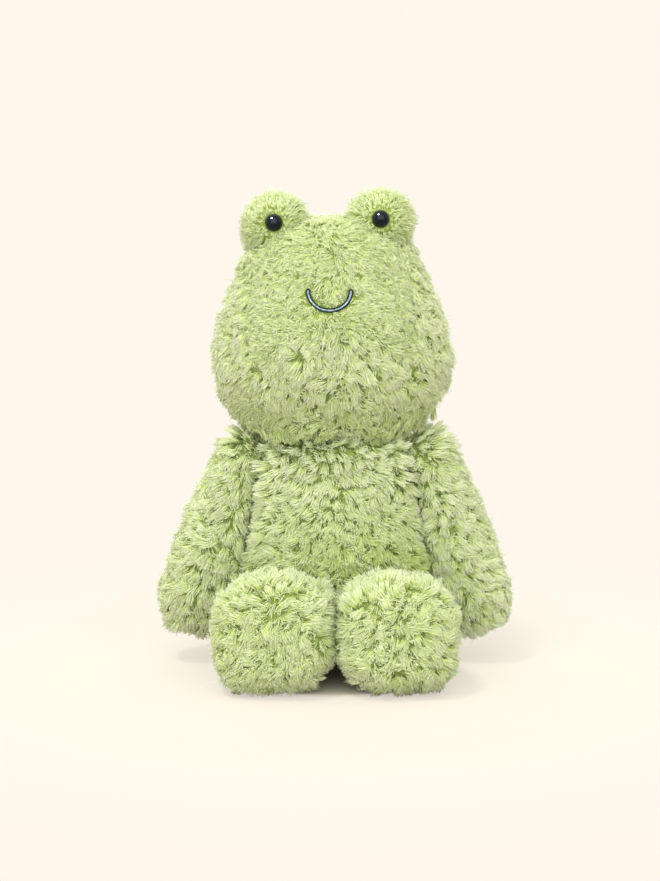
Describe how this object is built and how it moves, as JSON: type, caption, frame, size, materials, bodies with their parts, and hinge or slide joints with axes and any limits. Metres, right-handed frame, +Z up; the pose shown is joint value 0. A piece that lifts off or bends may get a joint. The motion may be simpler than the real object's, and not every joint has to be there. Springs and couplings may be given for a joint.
{
  "type": "plush frog",
  "caption": "Sitting stuffed frog of shaggy green plush, with eye bumps, bead eyes, a stitched smile and limbs that swing at the seams.",
  "frame": {"origin": "on the floor that the frog sits on, below the middle of its box", "axes": "the frog faces -Y, +Z is up, and its own left hand is at +X"},
  "size_m": [0.2078, 0.1526, 0.2756],
  "materials": {
    "plush": "long pile",
    "stuffing": "matte",
    "pouch_cloth": "matte",
    "thread": "satin",
    "eye_plastic": "gloss",
    "washer_plastic": "matte"
  },
  "bodies": {
    "torso": {"torso_skin": "plush", "torso_stuffing": "stuffing", "seat_pellet_pouch": "pouch_cloth"},
    "head": {"head_skin": "plush", "head_stuffing": "stuffing", "mouth_embroidery": "thread", "left_eye_bump_skin": "plush", "left_eye_bump_stuffing": "stuffing", "left_eye": "eye_plastic", "left_eye_washer": "washer_plastic", "right_eye_bump_skin": "plush", "right_eye_bump_stuffing": "stuffing", "right_eye": "eye_plastic", "right_eye_washer": "washer_plastic"},
    "left_arm": {"left_arm_skin": "plush", "left_arm_stuffing": "stuffing"},
    "left_leg": {"left_leg_skin": "plush", "left_leg_sole": "plush", "left_leg_stuffing": "stuffing"},
    "right_arm": {"right_arm_skin": "plush", "right_arm_stuffing": "stuffing"},
    "right_leg": {"right_leg_skin": "plush", "right_leg_sole": "plush", "right_leg_stuffing": "stuffing"}
  },
  "joints": [
    {"name": "neck_nod", "type": "hinge", "parent": "torso", "child": "head", "pos_m": [0, 0.02333, 0.126], "axis": [1, 0, 0], "range_deg": [-10, 10]},
    {"name": "left_shoulder", "type": "hinge", "parent": "torso", "child": "left_arm", "pos_m": [0.051, 0.02333, 0.118], "axis": [0, -1, 0], "range_deg": [0, 75]},
    {"name": "right_shoulder", "type": "hinge", "parent": "torso", "child": "right_arm", "pos_m": [-0.051, 0.02333, 0.118], "axis": [0, 1, 0], "range_deg": [0, 75]},
    {"name": "left_hip", "type": "hinge", "parent": "torso", "child": "left_leg", "pos_m": [0.03, 0.00833, 0.0255], "axis": [1, 0, 0], "range_deg": [0, 60]},
    {"name": "right_hip", "type": "hinge", "parent": "torso", "child": "right_leg", "pos_m": [-0.03, 0.00833, 0.0255], "axis": [1, 0, 0], "range_deg": [0, 60]}
  ]
}
